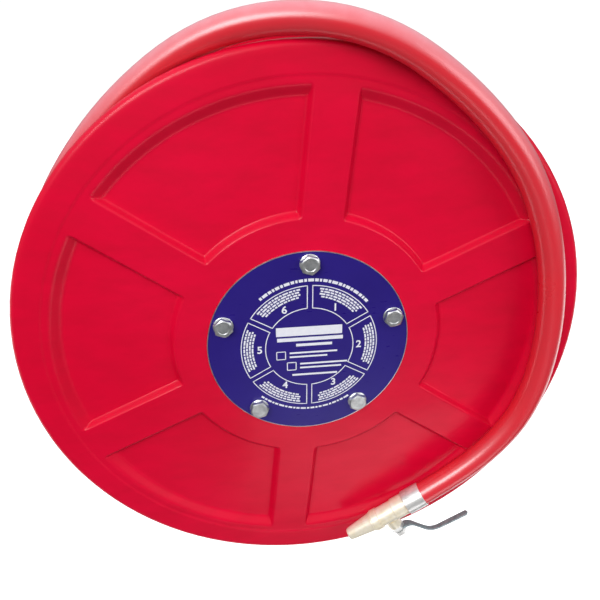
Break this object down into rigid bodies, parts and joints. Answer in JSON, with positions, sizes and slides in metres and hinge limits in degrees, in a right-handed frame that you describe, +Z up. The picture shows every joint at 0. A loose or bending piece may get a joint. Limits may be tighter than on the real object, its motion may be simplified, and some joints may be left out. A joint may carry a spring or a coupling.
{
  "type": "fire hose reel",
  "caption": "Wall-mounted swinging fire hose reel: red pressed drum on a hollow spindle, rubber hose wound inside, and a brass nozzle with a lever valve.",
  "frame": {"origin": "centre of the wall bolt pattern, on the wall's surface", "axes": "+X to the right seen from the front, +Y into the wall, +Z up"},
  "size_m": [0.56, 0.3136, 0.5869],
  "materials": {
    "drum_red": "glossy stoved enamel",
    "bracket_steel": "satin paint",
    "label_blue": "enamelled plate",
    "zinc_steel": "zinc plated",
    "plated_ferrule": "nickel plated",
    "lever_steel": "plated strip",
    "cast_brass": "turned brass",
    "bush_bronze": "machined",
    "hose_red": "smooth rubber",
    "seal_rubber": "matt",
    "seal_white": "smooth"
  },
  "bodies": {
    "wall_bracket": {"wall_plate": "bracket_steel", "upper_lug": "bracket_steel", "lower_lug": "bracket_steel", "upper_bush": "bush_bronze", "lower_bush": "bush_bronze", "inlet_body": "cast_brass", "inlet_seal": "seal_rubber"},
    "swing_arm": {"pivot_pipe": "bracket_steel", "top_cap": "bracket_steel", "thrust_collar": "zinc_steel", "keeper_collar": "zinc_steel", "arm_pipe": "bracket_steel", "arm_elbow": "bracket_steel", "upper_gusset": "bracket_steel", "lower_gusset": "bracket_steel", "spindle": "zinc_steel", "thrust_washer": "zinc_steel", "spindle_nut": "zinc_steel", "spindle_collar": "zinc_steel"},
    "valve_drive": {"valve_ball": "plated_ferrule", "valve_stem": "plated_ferrule", "lever": "lever_steel", "lever_nut": "plated_ferrule"},
    "drum": {"front_disc": "drum_red", "rear_disc": "drum_red", "barrel": "drum_red", "hub_body": "cast_brass", "front_bush": "bush_bronze", "front_seal": "seal_rubber", "rear_bush": "bush_bronze", "rear_seal": "seal_rubber", "front_hub_plate": "bracket_steel", "rear_hub_plate": "bracket_steel", "label_plate": "label_blue", "front_bolts": "zinc_steel", "front_nuts": "zinc_steel", "rear_bolts": "zinc_steel", "rear_nuts": "zinc_steel", "hub_outlet": "cast_brass", "hose_coupling": "cast_brass", "hose_winding": "hose_red", "hose_tail": "hose_red", "hose_ferrule": "plated_ferrule", "valve_body": "cast_brass", "nozzle_tip": "cast_brass", "valve_seats": "seal_white", "gland_nut": "plated_ferrule"}
  },
  "joints": [
    {"name": "arm_swing", "type": "hinge", "parent": "wall_bracket", "child": "swing_arm", "pos_m": [0, -0.09, 0], "axis": [0, 0, -1], "range_deg": [0, 90]},
    {"name": "drum_spin", "type": "hinge", "parent": "swing_arm", "child": "drum", "pos_m": [0.2, -0.2, 0], "axis": [0, -1, 0], "continuous": true},
    {"name": "lever_turn", "type": "hinge", "parent": "drum", "child": "valve_drive", "pos_m": [0.28932, -0.3, -0.22118], "axis": [0.5358, 0, -0.8443], "range_deg": [0, 90]}
  ]
}
